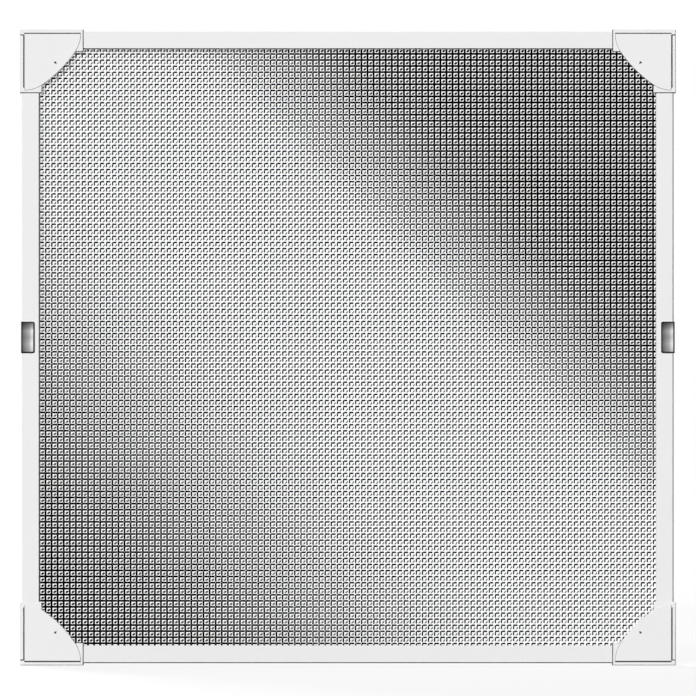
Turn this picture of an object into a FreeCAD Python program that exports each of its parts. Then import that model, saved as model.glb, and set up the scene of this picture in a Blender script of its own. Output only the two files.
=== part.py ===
import FreeCAD, Part
import math
import os
import Sketcher
from FreeCAD import Placement, Rotation, Vector

# Window screen: four hollow bars joined by moulded corners, a woven mesh held by a rubber spline in the
# groove behind, and a folded spring clip round each upright bar. Millimetres, upright, +Z up, the front
# towards -Y and the origin at the middle of the frame, on the back faces of the bars, which lie against the
# window's stop. Each piece is drawn about the middle of the bars' depth and then placed.

os.makedirs("parts", exist_ok=True)
doc = FreeCAD.newDocument("window_screen")
sheet = doc.addObject("Spreadsheet::Sheet", "sizes")

SIZES = [
    ("frame_width", 709.6, "outside of the left bar to outside of the right bar"),
    ("frame_height", 687.8, "outside of the bottom bar to outside of the top bar"),
    ("bar_face", 19.05, "width of a bar as seen from the front"),
    ("bar_depth", 11.1, "depth of a bar, front to back"),
    ("bar_wall", 1.1, "wall of the hollow bar"),
    ("bar_front_round", 1.2, "radius of the bar's two front edges"),
    ("bar_back_round", 0.5, "radius of the bar's outer back edge"),
    ("groove_width", 3.8, "spline groove, wall to wall"),
    ("groove_depth", 3.8, "spline groove, below the back face"),
    ("lip_wall", 1.3, "lip between the groove and the opening"),
    ("lip_drop", 1.6, "how far the lip lies below the back face, where the mesh lies"),
    ("corner_leg", 69.2, "length of a corner's leg from its outer edges"),
    ("corner_proud", 2.3, "corner beyond the bar's outer side"),
    ("corner_step_in", 2.6, "corner beyond the bar's inner side"),
    ("corner_front", 1.2, "corner beyond the bar's front face"),
    ("corner_round", 1.0, "radius of the corner's outer upright edge"),
    ("corner_edge", 0.6, "chamfer round the front of the legs"),
    ("joint_line_width", 1.0, "line between a leg's front and its bar"),
    ("joint_line_depth", 0.8, "depth of that line below the bar's front face"),
    ("corner_wall", 2.0, "walls and ribs inside the corner's legs"),
    ("end_wall", 4.0, "wall between a leg's core and its tongue"),
    ("inner_round", 8.0, "radius between the two legs, round which the groove runs"),
    ("tongue_length", 30.0, "how far a tongue reaches into its bar"),
    ("tongue_gap", 0.25, "clearance between a tongue and the bar's chamber, each side"),
    ("tongue_nose", 1.5, "chamfer on the end of a tongue"),
    ("fan_rim", 4.6, "strip left outside the fan along the outer edges"),
    ("fan_reach", 66.2, "far end of the fan from the outer edges"),
    ("fan_round", 35.5, "radius of the fan's two end curves"),
    ("fan_sweep", 35.0, "angle of each end curve, degrees"),
    ("fan_tip", 1.5, "radius where the fan's curve meets its straight side"),
    ("fan_raise", 0.6, "fan above the front of the legs"),
    ("fan_edge", 0.5, "chamfer round the raised fan"),
    ("fan_plate", 2.2, "thickness of the fan below the front of the legs"),
    ("rib_wall", 1.6, "ribs behind the fan"),
    ("rib_depth", 4.0, "depth of the ribs behind the fan"),
    ("rim_line_width", 1.2, "line that parts the fan from its rim"),
    ("rim_line_depth", 1.2, "depth of that line below the front of the legs"),
    ("tick_start", 5.2, "where the side line turns out to the edge"),
    ("gate_x", 38.4, "moulding gate mark from the side edge"),
    ("gate_z", 35.8, "moulding gate mark from the top or bottom edge"),
    ("gate_radius", 0.9, "radius of the gate mark"),
    ("gate_depth", 0.9, "depth of the gate mark"),
    ("mesh_pitch", 6.61, "middle of one wire to the middle of the next"),
    ("wire_width", 2.4, "width of a flat mesh wire"),
    ("wire_rise", 0.4, "height of a wire above the web"),
    ("web_depth", 0.4, "web that joins the wires of the two layers"),
    ("warp_ridge_wires", 4, "wires that one upright ridge of the wall stands for"),
    ("weft_ridge_wires", 5, "wires that one level ridge of the wall stands for"),
    ("warp_shift", 1.3, "middle upright ridge, right of the middle of the frame"),
    ("weft_shift", 35.8, "middle level ridge, above the middle of the frame"),
    ("ridge_step", 2, "spacing of the ridges, where 1 would lay them side by side"),
    ("hem_wall", 0.5, "turned edge of the mesh in the groove"),
    ("hem_depth", 1.6, "turned edge below the lip"),
    ("fit", 0.1, "clearance of hem and spline in the groove"),
    ("clip_height", 34.4, "height of a side clip"),
    ("clip_face", 14.9, "width of the clip as seen from the front"),
    ("clip_proud", 1.2, "clip beyond the bar's outer side"),
    ("clip_sheet", 0.6, "thickness of the clip's steel"),
    ("clip_back", 9.0, "how far the clip's back leg reaches over the bar"),
    ("clip_round", 2.2, "radius of the clip's free corners"),
    ("clip_fold", 0.9, "outer radius of the clip's folds"),
    ("clip_rise", 11.0, "middle of the clip above the middle of the frame"),
    ("clip_dish_rim", 1.5, "plain border round the clip's pressed panel"),
    ("clip_dish", 0.2, "depth of the pressed panel"),
]

for row, (alias, value, note) in enumerate(SIZES, start=1):
    sheet.set(f"A{row}", alias)
    sheet.set(f"B{row}", str(value))
    sheet.set(f"C{row}", note)
    sheet.setAlias(f"B{row}", alias)

# Places that follow from the sizes above. All are distances from a bar's outer side unless they say
# otherwise.
PLACES = [
    ("groove_outer", "=bar_face - lip_wall - groove_width"),
    ("groove_inner", "=bar_face - lip_wall"),
    ("chamber_inner", "=groove_outer - bar_wall"),
    ("turn_middle", "=bar_face + corner_step_in + inner_round"),
    ("hem_outer", "=groove_inner - fit - hem_wall"),
    ("spline_radius", "=(groove_width - hem_wall - 3 * fit) / 2"),
    ("spline_line", "=groove_outer + fit + spline_radius"),
    ("back_face", "=bar_depth / 2"),
    ("lip_face", "=back_face - lip_drop"),
    ("groove_floor", "=back_face - groove_depth"),
    ("leg_front", "=bar_depth / 2 + corner_front"),
    ("leg_width", "=corner_proud + bar_face + corner_step_in"),
    ("stile_length", "=frame_height - 2 * (corner_leg - corner_proud)"),
    ("rail_length", "=frame_width - 2 * (corner_leg - corner_proud)"),
]

for row, (alias, formula) in enumerate(PLACES, start=len(SIZES) + 1):
    sheet.set(f"A{row}", alias)
    sheet.set(f"B{row}", formula)
    sheet.setAlias(f"B{row}", alias)
doc.recompute()

ALIASES = {alias for alias, *_ in SIZES + PLACES}
TOLERANCE = 0.01


def size(expression):
    """Value of an expression in the sheet's names."""
    return float(sheet.evalExpression(expression))


def bound(expression):
    """The same expression as another object sees it, with each name led by the sheet's own."""
    words = []
    word = ""
    for letter in expression + " ":
        if letter.isalpha() or letter == "_" or (word and letter.isdigit()):
            word += letter
            continue
        if word:
            words.append("sizes." + word if word in ALIASES else word)
            word = ""
        words.append(letter)
    return "".join(words).strip()


# Sketch helpers

def origin_plane(body, role):
    return next(plane for plane in body.Origin.OriginFeatures if plane.Role == role)


def new_sketch(body, name, role, offset):
    """A sketch on one of the body's own planes, moved along the plane's normal by a bound expression."""
    sketch = body.newObject("Sketcher::SketchObject", name)
    sketch.AttachmentSupport = (origin_plane(body, role), [""])
    sketch.MapMode = "FlatFace"
    sketch.setExpression("AttachmentOffset.Base.z", bound(offset))
    return sketch


def fix_point(sketch, edge, end, point):
    """Hold one end of an edge at a pair of expressions from the sketch's origin."""
    for kind, expression in zip(("DistanceX", "DistanceY"), point):
        number = sketch.addConstraint(Sketcher.Constraint(kind, -1, 1, edge, end, size(expression)))
        sketch.setExpression(f"Constraints[{number}]", bound(expression))


def arc_between(first, last, radius, turn):
    """Short arc from first to last. A turn of 1 runs anticlockwise, -1 clockwise."""
    chord = last - first
    half = chord.Length / 2
    rise = math.sqrt(max(radius * radius - half * half, 0))
    left = Vector(-chord.y, chord.x, 0).normalize()
    middle = first + chord * 0.5 + left * (rise * turn)
    ends = (first, last) if turn > 0 else (last, first)
    angles = [math.atan2(end.y - middle.y, end.x - middle.x) for end in ends]
    if angles[1] < angles[0]:
        angles[1] += 2 * math.pi
    return Part.ArcOfCircle(Part.Circle(middle, Vector(0, 0, 1), radius), angles[0], angles[1])


def add_outline(sketch, points, arcs=None):
    """Closed outline through pairs of expressions. arcs gives the radius and turn of the edge that starts
    at a point, by the point's number."""
    arcs = arcs or {}
    first_edge = len(sketch.Geometry)
    places = [Vector(size(across), size(up), 0) for across, up in points]
    starts = []
    ends = []
    for number, place in enumerate(places):
        following = places[(number + 1) % len(places)]
        edge = first_edge + number
        if number in arcs:
            radius, turn = arcs[number]
            sketch.addGeometry(arc_between(place, following, size(radius), turn), False)
            starts.append((edge, 1 if turn > 0 else 2))
            ends.append((edge, 2 if turn > 0 else 1))
        else:
            sketch.addGeometry(Part.LineSegment(place, following), False)
            starts.append((edge, 1))
            ends.append((edge, 2))
    for number, point in enumerate(points):
        sketch.addConstraint(Sketcher.Constraint("Coincident", *ends[number - 1], *starts[number]))
        fix_point(sketch, *starts[number], point)
    for number, (radius, turn) in arcs.items():
        held = sketch.addConstraint(Sketcher.Constraint("Radius", first_edge + number, size(radius)))
        sketch.setExpression(f"Constraints[{held}]", bound(radius))


def add_rectangle(sketch, left, low, right, high):
    add_outline(sketch, [(left, low), (right, low), (right, high), (left, high)])


def add_circle(sketch, middle, radius):
    place = Vector(size(middle[0]), size(middle[1]), 0)
    edge = sketch.addGeometry(Part.Circle(place, Vector(0, 0, 1), size(radius)), False)
    fix_point(sketch, edge, 3, middle)
    held = sketch.addConstraint(Sketcher.Constraint("Radius", edge, size(radius)))
    sketch.setExpression(f"Constraints[{held}]", bound(radius))


# Solid helpers

def new_body(name):
    body = doc.addObject("PartDesign::Body", name)
    body.Label = name
    return body


def extrude(body, kind, name, sketch, length, **settings):
    """Pad or Pocket of a sketch by a bound length."""
    feature = body.newObject("PartDesign::" + kind, name)
    feature.Profile = sketch
    feature.setExpression("Length", bound(length))
    for setting, value in settings.items():
        setattr(feature, setting, value)
    doc.recompute()
    return feature


def edges_where(shape, test):
    """Names of the edges whose ends and middle pass a test."""
    names = []
    for number, edge in enumerate(shape.Edges, start=1):
        ends_and_middle = edge.discretize(3)
        if all(test(point) for point in ends_and_middle):
            names.append(f"Edge{number}")
    return names


def dress(body, kind, name, base, test, amount):
    """Fillet or Chamfer on the edges of the base that pass a test."""
    feature = body.newObject("PartDesign::" + kind, name)
    feature.Base = (base, edges_where(base.Shape, test))
    feature.setExpression("Radius" if kind == "Fillet" else "Size", bound(amount))
    doc.recompute()
    return feature


def near(value, target):
    return abs(value - target) < TOLERANCE


# The bar. Its section lies across X (from the outer side inward) and Y (depth), and it runs along Z.

def make_bar(name, length):
    body = new_body(name)
    front = "-back_face"
    section = new_sketch(body, name + "_section", "XY_Plane", f"-{length} / 2")
    add_outline(
        section,
        [
            ("bar_front_round", front),
            ("bar_face - bar_front_round", front),
            ("bar_face", front + " + bar_front_round"),
            ("bar_face", "lip_face"),
            ("groove_inner", "lip_face"),
            ("groove_inner", "groove_floor"),
            ("groove_outer", "groove_floor"),
            ("groove_outer", "back_face"),
            ("bar_back_round", "back_face"),
            ("0", "back_face - bar_back_round"),
            ("0", front + " + bar_front_round"),
        ],
        {
            1: ("bar_front_round", 1),
            8: ("bar_back_round", 1),
            10: ("bar_front_round", 1),
        },
    )
    add_rectangle(section, "bar_wall", front + " + bar_wall", "chamber_inner", "back_face - bar_wall")
    add_rectangle(
        section, "chamber_inner + bar_wall", front + " + bar_wall",
        "bar_face - bar_wall", "groove_floor - bar_wall",
    )
    extrude(body, "Pad", name + "_extrusion", section, length)
    return body


# The corner. Its outer edges meet at the origin and its legs run along X and Z.

def place_in_corner(distance):
    """A distance from the bar's outer side, as a distance from the corner's outer edge."""
    return f"({distance} + corner_proud)"


def band_outline(sketch, outer, inner):
    """Band between two lines that follow both legs and turn round the common middle between them."""
    far = "corner_leg"
    turn = place_in_corner("turn_middle")
    near_edge = place_in_corner(outer)
    far_edge = place_in_corner(inner)
    add_outline(
        sketch,
        [
            (far, near_edge),
            (far, far_edge),
            (turn, far_edge),
            (far_edge, turn),
            (far_edge, far),
            (near_edge, far),
            (near_edge, turn),
            (turn, near_edge),
        ],
        {
            2: (f"turn_middle - {inner}", -1),
            6: (f"turn_middle - {outer}", 1),
        },
    )


def fan_curve(inset):
    """Three tangent arcs of the fan's free edge, moved in by an inset: where the first meets the second, both
    radii, and how far out the second's crest lies along each leg."""
    sweep = "fan_sweep * 1deg"
    middle_across = "(fan_reach - fan_round)"
    end_radius = f"(fan_round - {inset})"
    bend_across = f"{middle_across} + {end_radius} * cos({sweep})"
    bend_up = f"fan_rim + {end_radius} * sin({sweep})"
    between = f"({middle_across} - fan_rim) / (cos({sweep}) - sin({sweep}))"
    middle_radius = f"({between} + fan_round - {inset})"
    crest = f"({middle_across} - {between} * cos({sweep}) + {middle_radius} * cos(45deg))"
    return bend_across, bend_up, end_radius, middle_radius, crest


def fan_outline(sketch):
    bend_across, bend_up, end_radius, middle_radius, _ = fan_curve("0")
    add_outline(
        sketch,
        [
            ("fan_rim", "fan_rim"),
            ("fan_reach - fan_tip", "fan_rim"),
            ("fan_reach", "fan_rim + fan_tip"),
            (bend_across, bend_up),
            (bend_up, bend_across),
            ("fan_rim + fan_tip", "fan_reach"),
            ("fan_rim", "fan_reach - fan_tip"),
        ],
        {
            1: ("fan_tip", 1),
            2: (end_radius, 1),
            3: (middle_radius, 1),
            4: (end_radius, 1),
            5: ("fan_tip", 1),
        },
    )


def fan_rib_outline(sketch):
    """Rib under the fan's free edge, from one leg to the other."""
    outer_across, outer_up, _, outer_middle, _ = fan_curve("fan_edge")
    inner_across, inner_up, _, inner_middle, _ = fan_curve("(fan_edge + rib_wall)")
    add_outline(
        sketch,
        [
            (outer_across, outer_up),
            (outer_up, outer_across),
            (inner_up, inner_across),
            (inner_across, inner_up),
        ],
        {0: (outer_middle, 1), 2: (inner_middle, -1)},
    )


def make_corner(name, side_leg):
    """side_leg names the leg, X or Z, that stands upright when the corner is in the frame."""
    body = new_body(name)

    legs = new_sketch(body, name + "_legs", "XZ_Plane", "-back_face")
    add_outline(
        legs,
        [
            ("corner_round", "0"),
            ("corner_leg", "0"),
            ("corner_leg", "leg_width"),
            ("leg_width + inner_round", "leg_width"),
            ("leg_width", "leg_width + inner_round"),
            ("leg_width", "corner_leg"),
            ("0", "corner_leg"),
            ("0", "corner_round"),
        ],
        {3: ("inner_round", -1), 7: ("corner_round", 1)},
    )
    block = extrude(body, "Pad", name + "_block", legs, "back_face + leg_front")
    front = -size("leg_front")
    dress(body, "Chamfer", name + "_edge", block, lambda point: near(point.y, front), "corner_edge")

    fan = new_sketch(body, name + "_fan", "XZ_Plane", "leg_front - fan_plate")
    fan_outline(fan)
    gusset = extrude(body, "Pad", name + "_gusset", fan, "fan_plate + fan_raise")
    top = front - size("fan_raise")
    dress(body, "Chamfer", name + "_fan_edge", gusset, lambda point: near(point.y, top), "fan_edge")

    rib = new_sketch(body, name + "_rib", "XZ_Plane", "leg_front - fan_plate")
    fan_rib_outline(rib)
    extrude(body, "Pad", name + "_edge_rib", rib, "rib_depth", Reversed=True)

    brace = new_sketch(body, name + "_brace", "XZ_Plane", "leg_front - fan_plate")
    half = "rib_wall * sqrt(2) / 2"
    *_, reach = fan_curve("(fan_edge + rib_wall)")
    add_outline(
        brace,
        [
            (f"leg_width + {half}", "leg_width"),
            (f"{reach} + {half}", reach),
            (reach, f"{reach} + {half}"),
            ("leg_width", f"leg_width + {half}"),
        ],
    )
    extrude(body, "Pad", name + "_brace_rib", brace, "rib_depth", Reversed=True)

    seat = new_sketch(body, name + "_seat", "XZ_Plane", "-back_face")
    turn = place_in_corner("turn_middle")
    edge = place_in_corner("groove_inner")
    add_outline(
        seat,
        [
            ("corner_leg", edge),
            ("corner_leg", "corner_leg"),
            (edge, "corner_leg"),
            (edge, turn),
            (turn, edge),
        ],
        {3: ("turn_middle - groove_inner", 1)},
    )
    extrude(body, "Pocket", name + "_mesh_seat", seat, "lip_drop", Reversed=True)

    groove = new_sketch(body, name + "_groove_line", "XZ_Plane", "-back_face")
    band_outline(groove, "groove_outer", "groove_inner")
    extrude(body, "Pocket", name + "_groove", groove, "groove_depth", Reversed=True)

    core = new_sketch(body, name + "_core_cells", "XZ_Plane", "-back_face")
    inner = f"({place_in_corner('groove_outer')} - corner_wall)"
    cell = f"((corner_leg - end_wall - {inner} - 2 * corner_wall) / 2)"
    add_rectangle(core, "corner_wall", "corner_wall", inner, inner)
    for number in (0, 1):
        start = f"({inner} + corner_wall + {number} * ({cell} + corner_wall))"
        add_rectangle(core, start, "corner_wall", f"{start} + {cell}", inner)
        add_rectangle(core, "corner_wall", start, inner, f"{start} + {cell}")
    depth = "back_face + leg_front - corner_wall"
    extrude(body, "Pocket", name + "_core", core, depth, Reversed=True)

    low = place_in_corner("(bar_wall + tongue_gap)")
    high = place_in_corner("(chamber_inner - tongue_gap)")
    half_depth = "(back_face - bar_wall - tongue_gap)"
    along_x = new_sketch(body, name + "_tongue_x", "YZ_Plane", "corner_leg")
    add_rectangle(along_x, "-" + half_depth, low, half_depth, high)
    plug_x = extrude(body, "Pad", name + "_plug_x", along_x, "tongue_length")
    tip = size("corner_leg + tongue_length")
    dress(body, "Chamfer", name + "_nose_x", plug_x, lambda point: near(point.x, tip), "tongue_nose")
    along_z = new_sketch(body, name + "_tongue_z", "XY_Plane", "corner_leg")
    add_rectangle(along_z, low, "-" + half_depth, high, half_depth)
    plug_z = extrude(body, "Pad", name + "_plug_z", along_z, "tongue_length")
    dress(body, "Chamfer", name + "_nose_z", plug_z, lambda point: near(point.z, tip), "tongue_nose")

    lines = new_sketch(body, name + "_rim_lines", "XZ_Plane", "leg_front")
    near_line = "(fan_rim - rim_line_width)"
    stretches = [
        ("fan_rim", near_line, "fan_reach", "fan_rim"),
        (near_line, "tick_start", "fan_rim", "fan_reach - 2 * fan_tip"),
        ("0", "tick_start", near_line, "tick_start + rim_line_width"),
    ]
    for left, bottom, right, high_edge in stretches:
        if side_leg == "X":
            left, bottom, right, high_edge = bottom, left, high_edge, right
        add_rectangle(lines, left, bottom, right, high_edge)
    extrude(body, "Pocket", name + "_lines", lines, "rim_line_depth")

    gate = new_sketch(body, name + "_gate", "XZ_Plane", "leg_front + fan_raise")
    place = ("gate_x", "gate_z") if side_leg == "Z" else ("gate_z", "gate_x")
    add_circle(gate, place, "gate_radius")
    extrude(body, "Pocket", name + "_gate_mark", gate, "gate_depth")

    joints = new_sketch(body, name + "_joint_ends", "XZ_Plane", "leg_front")
    joint = "corner_leg - joint_line_width"
    add_rectangle(joints, joint, "0", "corner_leg", "leg_width")
    add_rectangle(joints, "0", joint, "leg_width", "corner_leg")
    extrude(body, "Pocket", name + "_joint_lines", joints, "corner_front + joint_line_depth")
    return body


# The clip, drawn as a bar is: across X and Y, along Z.

def make_clip(name):
    body = new_body(name)
    fold = new_sketch(body, name + "_section", "XY_Plane", "-clip_height / 2")
    free = "clip_face - clip_proud"
    inner_fold = "(clip_fold - clip_sheet)"
    outside = "-clip_proud"
    inside = "(clip_sheet - clip_proud)"
    front = "(back_face + clip_sheet)"
    add_outline(
        fold,
        [
            (free, "-" + front),
            (free, "-back_face"),
            (f"{inside} + {inner_fold}", "-back_face"),
            (inside, f"-back_face + {inner_fold}"),
            (inside, f"back_face - {inner_fold}"),
            (f"{inside} + {inner_fold}", "back_face"),
            ("clip_back", "back_face"),
            ("clip_back", front),
            (f"{outside} + clip_fold", front),
            (outside, f"{front} - clip_fold"),
            (outside, f"-{front} + clip_fold"),
            (f"{outside} + clip_fold", "-" + front),
        ],
        {
            2: (inner_fold, -1),
            4: (inner_fold, -1),
            8: ("clip_fold", 1),
            10: ("clip_fold", 1),
        },
    )
    strip = extrude(body, "Pad", name + "_strip", fold, "clip_height")
    reach = size(free)
    back = size("clip_back")
    half = size("clip_height / 2")

    def free_corner(point):
        return (near(point.x, reach) or near(point.x, back)) and near(abs(point.z), half)

    dress(body, "Fillet", name + "_corners", strip, free_corner, "clip_round")
    panel = new_sketch(body, name + "_panel", "XZ_Plane", front)
    left = f"{outside} + clip_fold + clip_dish_rim"
    right = f"{free} - clip_dish_rim"
    half_panel = "(clip_height / 2 - clip_dish_rim)"
    add_rectangle(panel, left, "-" + half_panel, right, half_panel)
    extrude(body, "Pocket", name + "_pressed_panel", panel, "clip_dish")
    return body


# The spline, one cord swept round the groove's middle line.

def make_spline(name):
    body = new_body(name)
    path = new_sketch(body, name + "_path", "XZ_Plane", "-(groove_floor + fit + spline_radius)")
    side = "(frame_width / 2 - spline_line)"
    top = "(frame_height / 2 - spline_line)"
    bend = "(turn_middle - spline_line)"
    add_rounded(path, side, top, bend)
    section = new_sketch(body, name + "_section", "YZ_Plane", "0")
    add_circle(section, ("groove_floor + fit + spline_radius", top), "spline_radius")
    sweep = body.newObject("PartDesign::AdditivePipe", name + "_cord")
    sweep.Profile = section
    sweep.Spine = path
    doc.recompute()
    return body


def add_rounded(sketch, side, top, bend):
    """Rounded rectangle about the sketch's origin, from its half sizes and its corner radius."""
    add_outline(
        sketch,
        [
            (f"-{side} + {bend}", "-" + top),
            (f"{side} - {bend}", "-" + top),
            (side, f"-{top} + {bend}"),
            (side, f"{top} - {bend}"),
            (f"{side} - {bend}", top),
            (f"-{side} + {bend}", top),
            ("-" + side, f"{top} - {bend}"),
            ("-" + side, f"-{top} + {bend}"),
        ],
        {1: (bend, 1), 3: (bend, 1), 5: (bend, 1), 7: (bend, 1)},
    )


# The mesh. The upright wires are ridges on the front of one thin web and the level wires are ridges on its
# back. A ridge stands for several wires side by side, and the gap beside it for as many again.

def rounded_slab(inset, front, back):
    """Rounded slab whose edge lies an inset inside the bars' outer sides."""
    side = size(f"frame_width / 2 - {inset}")
    top = size(f"frame_height / 2 - {inset}")
    slab = Part.makeBox(2 * side, back - front, 2 * top, Vector(-side, front, -top))
    upright = [edge for edge in slab.Edges if near(edge.Length, back - front)]
    return slab.makeFillet(size(f"turn_middle - {inset}"), upright)


def ridge_places(half, shift, wires):
    """Middles of the ridges that fit whole between -half and half."""
    pitch = size(f"mesh_pitch * {wires} * ridge_step")
    room = half - size(f"wire_width * {wires} / 2")
    first = math.ceil((-room - shift) / pitch)
    last = math.floor((room - shift) / pitch)
    return [shift + number * pitch for number in range(first, last + 1)]


def comb_face(half, places, half_ridge, web_side, web_top, ridge_top):
    """Toothed section: a flat strip with one tooth for each ridge."""
    points = [(-half, web_side), (-half, web_top)]
    for place in places:
        points.append((place - half_ridge, web_top))
        points.append((place - half_ridge, ridge_top))
        points.append((place + half_ridge, ridge_top))
        points.append((place + half_ridge, web_top))
    points += [(half, web_top), (half, web_side)]
    return points


def gap_spans(places, half_ridge):
    """Low and high edge of each gap between two ridges."""
    return [(low + half_ridge, high - half_ridge) for low, high in zip(places, places[1:])]


def make_mesh(name):
    front = size("lip_face")
    web_front = front + size("wire_rise")
    web_back = web_front + size("web_depth")
    back = web_back + size("wire_rise")
    web_middle = (web_front + web_back) / 2
    side = size("frame_width / 2 - hem_outer")
    top = size("frame_height / 2 - hem_outer")
    half_warp = size("wire_width * warp_ridge_wires / 2")
    half_weft = size("wire_width * weft_ridge_wires / 2")
    warp = ridge_places(side, size("warp_shift"), "warp_ridge_wires")
    weft = ridge_places(top, size("weft_shift"), "weft_ridge_wires")

    upright_comb = comb_face(side, warp, half_warp, web_middle, web_front, front)
    upright = [Vector(across, deep, -top) for across, deep in upright_comb]
    upright_wires = Part.Face(Part.makePolygon(upright + upright[:1])).extrude(Vector(0, 0, 2 * top))
    level_comb = comb_face(top, weft, half_weft, web_middle, web_back, back)
    level = [Vector(-side, deep, up) for up, deep in level_comb]
    level_wires = Part.Face(Part.makePolygon(level + level[:1])).extrude(Vector(2 * side, 0, 0))
    cloth = upright_wires.fuse(level_wires)

    cells = []
    for left, right in gap_spans(warp, half_warp):
        for low, high in gap_spans(weft, half_weft):
            cells.append(Part.makeBox(right - left, back - front, high - low, Vector(left, front, low)))
    cloth = cloth.cut(Part.makeCompound(cells))

    outline = rounded_slab("hem_outer", front, back)
    cloth = cloth.common(outline)
    hem_front = front - size("hem_depth")
    past = size("hem_wall")
    hem = rounded_slab("hem_outer", hem_front, back)
    hem = hem.cut(rounded_slab("(hem_outer + hem_wall)", hem_front - past, back + past))
    piece = doc.addObject("Part::Feature", name)
    piece.Label = name
    piece.Shape = cloth.fuse(hem).removeSplitter().Solids[0]
    return piece


# Assembly. A turn about Y carries a piece drawn at the left or bottom left to its own place, and every piece
# moves forward until the bars' back faces reach the origin.

def turned(angle, across, up):
    return Placement(Vector(across, -size("back_face"), up), Rotation(Vector(0, 1, 0), angle))


half_width = size("frame_width / 2")
half_height = size("frame_height / 2")
corner_across = half_width + size("corner_proud")
corner_up = half_height + size("corner_proud")

pieces = {}
pieces["stile_left"] = (make_bar("stile_left", "stile_length"), turned(0, -half_width, 0))
pieces["stile_right"] = (make_bar("stile_right", "stile_length"), turned(180, half_width, 0))
pieces["rail_top"] = (make_bar("rail_top", "rail_length"), turned(90, 0, half_height))
pieces["rail_bottom"] = (make_bar("rail_bottom", "rail_length"), turned(-90, 0, -half_height))

corners = [
    ("corner_bottom_left", "Z", 0, -1, -1),
    ("corner_top_left", "X", 90, -1, 1),
    ("corner_top_right", "Z", 180, 1, 1),
    ("corner_bottom_right", "X", -90, 1, -1),
]
for name, side_leg, angle, side, end in corners:
    pieces[name] = (make_corner(name, side_leg), turned(angle, side * corner_across, end * corner_up))

clip_up = size("clip_rise")
pieces["side_clip_left"] = (make_clip("side_clip_left"), turned(0, -half_width, clip_up))
pieces["side_clip_right"] = (make_clip("side_clip_right"), turned(180, half_width, clip_up))
pieces["spline"] = (make_spline("spline"), turned(0, 0, 0))
pieces["screen_mesh"] = (make_mesh("screen_mesh"), turned(0, 0, 0))

for piece, placement in pieces.values():
    piece.Placement = placement
doc.recompute()

for item in doc.Objects:
    if "Invalid" in item.State or "Error" in item.State:
        raise RuntimeError(f"{item.Name} did not build: {item.State}")
for name, (piece, _) in pieces.items():
    shape = piece.Shape
    if shape.isNull() or not shape.isValid() or len(shape.Solids) != 1:
        raise RuntimeError(f"{name} is not one valid solid")
    print(f"{name}: {shape.Volume / 1000:.2f} cm3, {len(shape.Faces)} faces")

for name, (piece, _) in pieces.items():
    piece.Shape.exportStep(f"parts/{name}.step")
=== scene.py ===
"""Dresses the window screen: coated bars, moulded corners, steel clips, rubber spline and woven mesh.

Everything is in metres in the frame's own axes: +X to the right as seen from the front, +Y from front to
back and +Z up. The bars' back faces lie at Y = 0.
"""
import logging
import math
from collections.abc import Sequence
from dataclasses import dataclass, field
from enum import Enum
from typing import TypeAlias

import bpy
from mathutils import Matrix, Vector


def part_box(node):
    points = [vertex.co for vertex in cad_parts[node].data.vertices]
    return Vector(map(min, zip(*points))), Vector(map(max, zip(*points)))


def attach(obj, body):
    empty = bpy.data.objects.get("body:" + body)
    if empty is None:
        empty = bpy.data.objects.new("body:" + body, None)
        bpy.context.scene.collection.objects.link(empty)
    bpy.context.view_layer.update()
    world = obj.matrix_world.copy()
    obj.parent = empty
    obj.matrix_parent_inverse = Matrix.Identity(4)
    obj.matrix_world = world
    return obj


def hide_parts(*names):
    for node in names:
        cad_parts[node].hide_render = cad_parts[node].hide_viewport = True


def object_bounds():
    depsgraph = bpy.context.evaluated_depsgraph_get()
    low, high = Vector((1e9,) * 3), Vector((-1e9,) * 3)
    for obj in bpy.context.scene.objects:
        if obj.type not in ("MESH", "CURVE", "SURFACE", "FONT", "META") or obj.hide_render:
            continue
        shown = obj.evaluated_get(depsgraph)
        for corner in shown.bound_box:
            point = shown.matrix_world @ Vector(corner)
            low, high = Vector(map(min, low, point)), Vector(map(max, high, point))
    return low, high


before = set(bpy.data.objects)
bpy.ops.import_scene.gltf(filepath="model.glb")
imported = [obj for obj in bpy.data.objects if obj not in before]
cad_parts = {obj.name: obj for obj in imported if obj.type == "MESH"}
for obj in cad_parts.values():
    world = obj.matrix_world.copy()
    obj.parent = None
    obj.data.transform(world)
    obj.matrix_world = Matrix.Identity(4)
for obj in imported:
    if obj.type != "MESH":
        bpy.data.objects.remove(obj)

CAD_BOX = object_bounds()
BODY = "root"
MM = 0.001
WELD = 0.01 * MM
NOISE_LOW = 0.3
NOISE_HIGH = 0.7

Axis: TypeAlias = tuple[float, float, float]
Span: TypeAlias = tuple[float, float]
Stops: TypeAlias = Sequence[tuple[float, float]]
Colour: TypeAlias = tuple[float, float, float, float]
Socket: TypeAlias = bpy.types.NodeSocket
Input: TypeAlias = Socket | float | Sequence[float]
Material: TypeAlias = bpy.types.Material
Object: TypeAlias = bpy.types.Object

RIGHT: Axis = (1.0, 0.0, 0.0)
BACK: Axis = (0.0, 1.0, 0.0)
FRONT: Axis = (0.0, -1.0, 0.0)
UP: Axis = (0.0, 0.0, 1.0)
UPPER_RIGHT: Axis = (1.0, 0.0, 1.0)
LOWER_RIGHT: Axis = (1.0, 0.0, -1.0)
WHITE: Colour = (1.0, 1.0, 1.0, 1.0)

log = logging.getLogger("window_screen")


class Slot(Enum):
    """Material slots of the record."""

    MESH = "mesh_wire"


class Side(Enum):
    """Which upright bar a clip sits on, as the sign of X."""

    LEFT = -1
    RIGHT = 1


def deselect_all() -> None:
    """Leave edit mode and deselect every object."""
    if bpy.context.object and bpy.context.object.mode != "OBJECT":
        bpy.ops.object.mode_set(mode="OBJECT")
    bpy.ops.object.select_all(action="DESELECT")


def make_active(piece: Object) -> None:
    """Select one object alone and make it the active one.

    Args:
        piece: the object to work on.
    """
    deselect_all()
    piece.select_set(True)
    bpy.context.view_layer.objects.active = piece


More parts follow.
